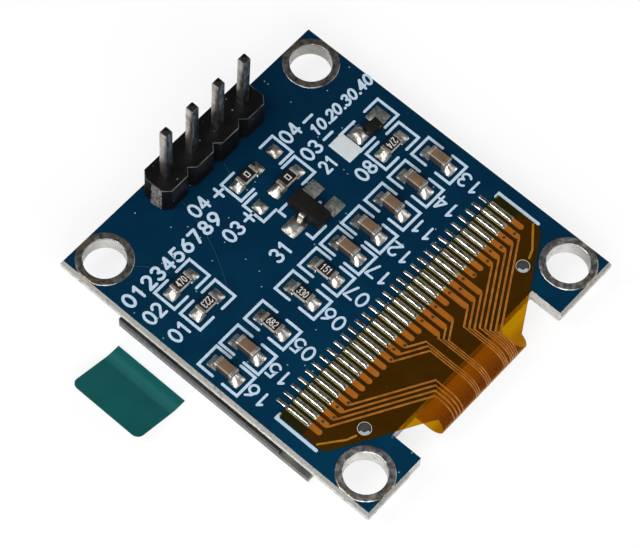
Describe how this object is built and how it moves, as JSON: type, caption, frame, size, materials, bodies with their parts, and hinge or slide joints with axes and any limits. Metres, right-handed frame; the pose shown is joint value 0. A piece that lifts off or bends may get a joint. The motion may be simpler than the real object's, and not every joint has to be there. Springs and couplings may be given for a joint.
{
  "type": "small oled display module",
  "caption": "Small display module seen from its back: square blue board with plated corner holes, upright pin header, chip parts, an amber ribbon folded to the glass and a green pull tab.",
  "frame": {"origin": "middle of the four mounting holes, on the board's display-side face", "axes": "+X across the board's width, +Y from the ribbon edge to the header edge, +Z out of the component side, along the header pins"},
  "size_m": [0.0305, 0.0274, 0.0114],
  "materials": {
    "board": "blue solder mask over glass fibre, semi-gloss",
    "plating": "dull tinned plating",
    "header_plastic": "black moulded plastic, satin",
    "pin": "tinned square pin, bright",
    "solder": "solder, bright and wavy",
    "resistor": "black glaze over white ceramic, tinned ends",
    "capacitor": "brown ceramic, tinned ends",
    "moulding": "black moulded package, matt",
    "lead": "tinned lead",
    "ribbon": "amber film, glossy",
    "contact": "thinly tinned copper",
    "copper": "copper under an amber cover layer",
    "ink": "white printed ink",
    "foam": "white foam tape",
    "glass": "clear display glass",
    "drier": "white drying sheet",
    "pixels": "thin metal and emitter layers",
    "silicon": "bare driver chip, dark grey",
    "polariser": "dark polarising film",
    "film": "clear protective film",
    "tab": "teal-green pull tab"
  },
  "bodies": {
    "root": {"circuit_board": "board", "hole_plating": "plating", "header_housing": "header_plastic", "header_solder": "solder", "header_pin_1": "pin", "header_pin_2": "pin", "header_pin_3": "pin", "header_pin_4": "pin", "resistor_1": "resistor", "resistor_2": "resistor", "resistor_3": "resistor", "resistor_4": "resistor", "resistor_5": "resistor", "resistor_6": "resistor", "resistor_7": "resistor", "resistor_8": "resistor", "resistor_solder_1": "solder", "resistor_solder_2": "solder", "resistor_solder_3": "solder", "resistor_solder_4": "solder", "resistor_solder_5": "solder", "resistor_solder_6": "solder", "resistor_solder_7": "solder", "resistor_solder_8": "solder", "capacitor_1": "capacitor", "capacitor_2": "capacitor", "capacitor_3": "capacitor", "capacitor_4": "capacitor", "capacitor_5": "capacitor", "capacitor_6": "capacitor", "capacitor_7": "capacitor", "capacitor_solder_1": "solder", "capacitor_solder_2": "solder", "capacitor_solder_3": "solder", "capacitor_solder_4": "solder", "capacitor_solder_5": "solder", "capacitor_solder_6": "solder", "capacitor_solder_7": "solder", "diode_body": "moulding", "diode_leads": "lead", "diode_solder": "solder", "regulator_body": "moulding", "regulator_leads": "lead", "regulator_solder": "solder", "bare_pad_solder": "solder", "ribbon": "ribbon", "ribbon_contacts": "contact", "ribbon_solder": "solder", "ribbon_traces": "copper", "board_print": "ink", "foam_tape": "foam", "cover_glass": "glass", "drying_sheet": "drier", "pixel_layer": "pixels", "front_glass": "glass", "driver_chip": "silicon", "polariser": "polariser", "protective_film": "film", "pull_tab": "tab"}
  },
  "joints": []
}
